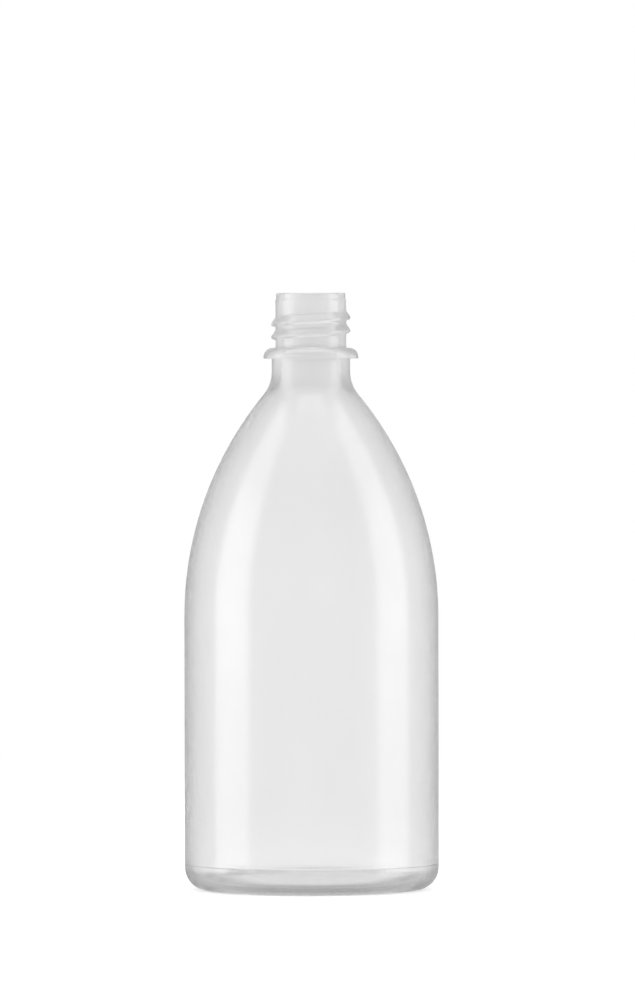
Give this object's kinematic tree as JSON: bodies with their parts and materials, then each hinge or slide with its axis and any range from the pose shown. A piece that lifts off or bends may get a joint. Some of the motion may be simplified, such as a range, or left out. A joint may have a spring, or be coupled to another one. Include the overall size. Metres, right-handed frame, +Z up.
{
  "type": "narrow-neck bottle",
  "caption": "Round narrow-neck bottle of milky blow-moulded LDPE, open at the mouth, with a long curved shoulder, a transfer ring and a coarse screw thread.",
  "frame": {"origin": "centre of the standing ring, on the floor that the bottle stands on", "axes": "+Z up along the axis of the bottle, towards the mouth; -Y faces the camera of the picture and +X is to its right; the mould's parting plane is turned 12 degrees from the XZ plane about +Z"},
  "size_m": [0.0762, 0.0762, 0.179],
  "materials": {
    "ldpe": "satin, translucent"
  },
  "bodies": {
    "root": {"bottle": "ldpe"}
  },
  "joints": []
}
